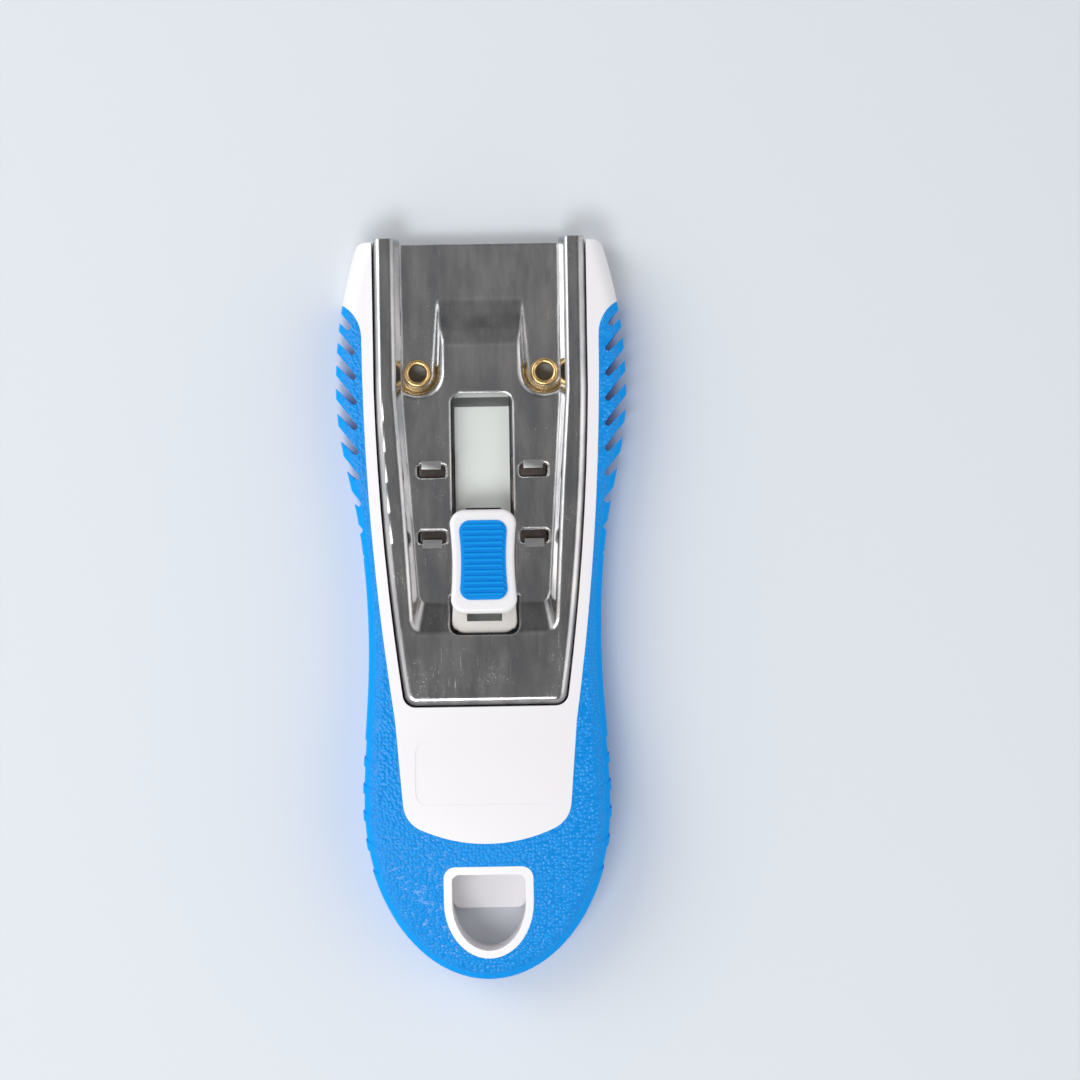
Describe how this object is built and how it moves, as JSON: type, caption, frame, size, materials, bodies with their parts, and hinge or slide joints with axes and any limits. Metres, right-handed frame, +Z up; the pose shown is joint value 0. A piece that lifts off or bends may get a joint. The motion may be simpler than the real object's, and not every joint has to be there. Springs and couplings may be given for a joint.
{
  "type": "ceramic hob and glass scraper",
  "caption": "Hand scraper for glass and ceramic hobs: steel head with a sliding single-edge blade and push button, in a two-shell handle with a soft finned grip and a hang hole.",
  "frame": {"origin": "middle of the length and width, on the flat underside", "axes": "+Y towards the blade, +Z up through the button, +X to the right seen from above with the blade ahead"},
  "size_m": [0.0598, 0.1524, 0.0171],
  "materials": {
    "white_plastic": "satin moulded ABS",
    "white_plastic_back": "satin moulded ABS",
    "blue_soft_grip": "pebbled thermoplastic rubber, smooth on the fins and bands",
    "bright_cover_steel": "bright polished stamping",
    "sole_steel": "cold-rolled sheet",
    "brass_eyelet": "rolled brass",
    "zinc_bracket": "zinc-plated sheet",
    "zinc_strip": "zinc-plated sheet",
    "blade_steel": "ground and lightly oiled",
    "stud_steel": "turned",
    "slider_plastic": "moulded",
    "rivet_steel": "turned",
    "cap_plastic": "satin moulded ABS",
    "blue_pad": "soft ribbed pad",
    "lock_steel": "blanked sheet",
    "spring_steel": "blued spring strip",
    "screw_steel": "zinc-plated"
  },
  "bodies": {
    "handle": {"handle_core": "white_plastic", "handle_back": "white_plastic_back", "grip_sleeve": "blue_soft_grip", "cover_plate": "bright_cover_steel", "base_plate": "sole_steel", "eyelet_left": "brass_eyelet", "eyelet_right": "brass_eyelet", "guide_bracket": "zinc_bracket", "body_screws": "screw_steel", "head_screw": "screw_steel"},
    "carriage": {"blade_carrier": "zinc_strip", "blade": "blade_steel", "blade_studs": "stud_steel", "slider_base": "slider_plastic", "slider_rivets": "rivet_steel"},
    "button": {"slider_cap": "cap_plastic", "slider_pad": "blue_pad", "lock_plate": "lock_steel", "button_spring": "spring_steel"}
  },
  "joints": [
    {"name": "blade_slide", "type": "slide", "parent": "handle", "child": "carriage", "axis": [0, 1, 0], "range_m": [0, 0.022]},
    {"name": "button_press", "type": "slide", "parent": "carriage", "child": "button", "axis": [0, 0, -1], "range_m": [0, 0.0011], "stiffness_N_per_m": 1200, "springref_m": -0.001, "deforming": ["button_spring"]}
  ]
}
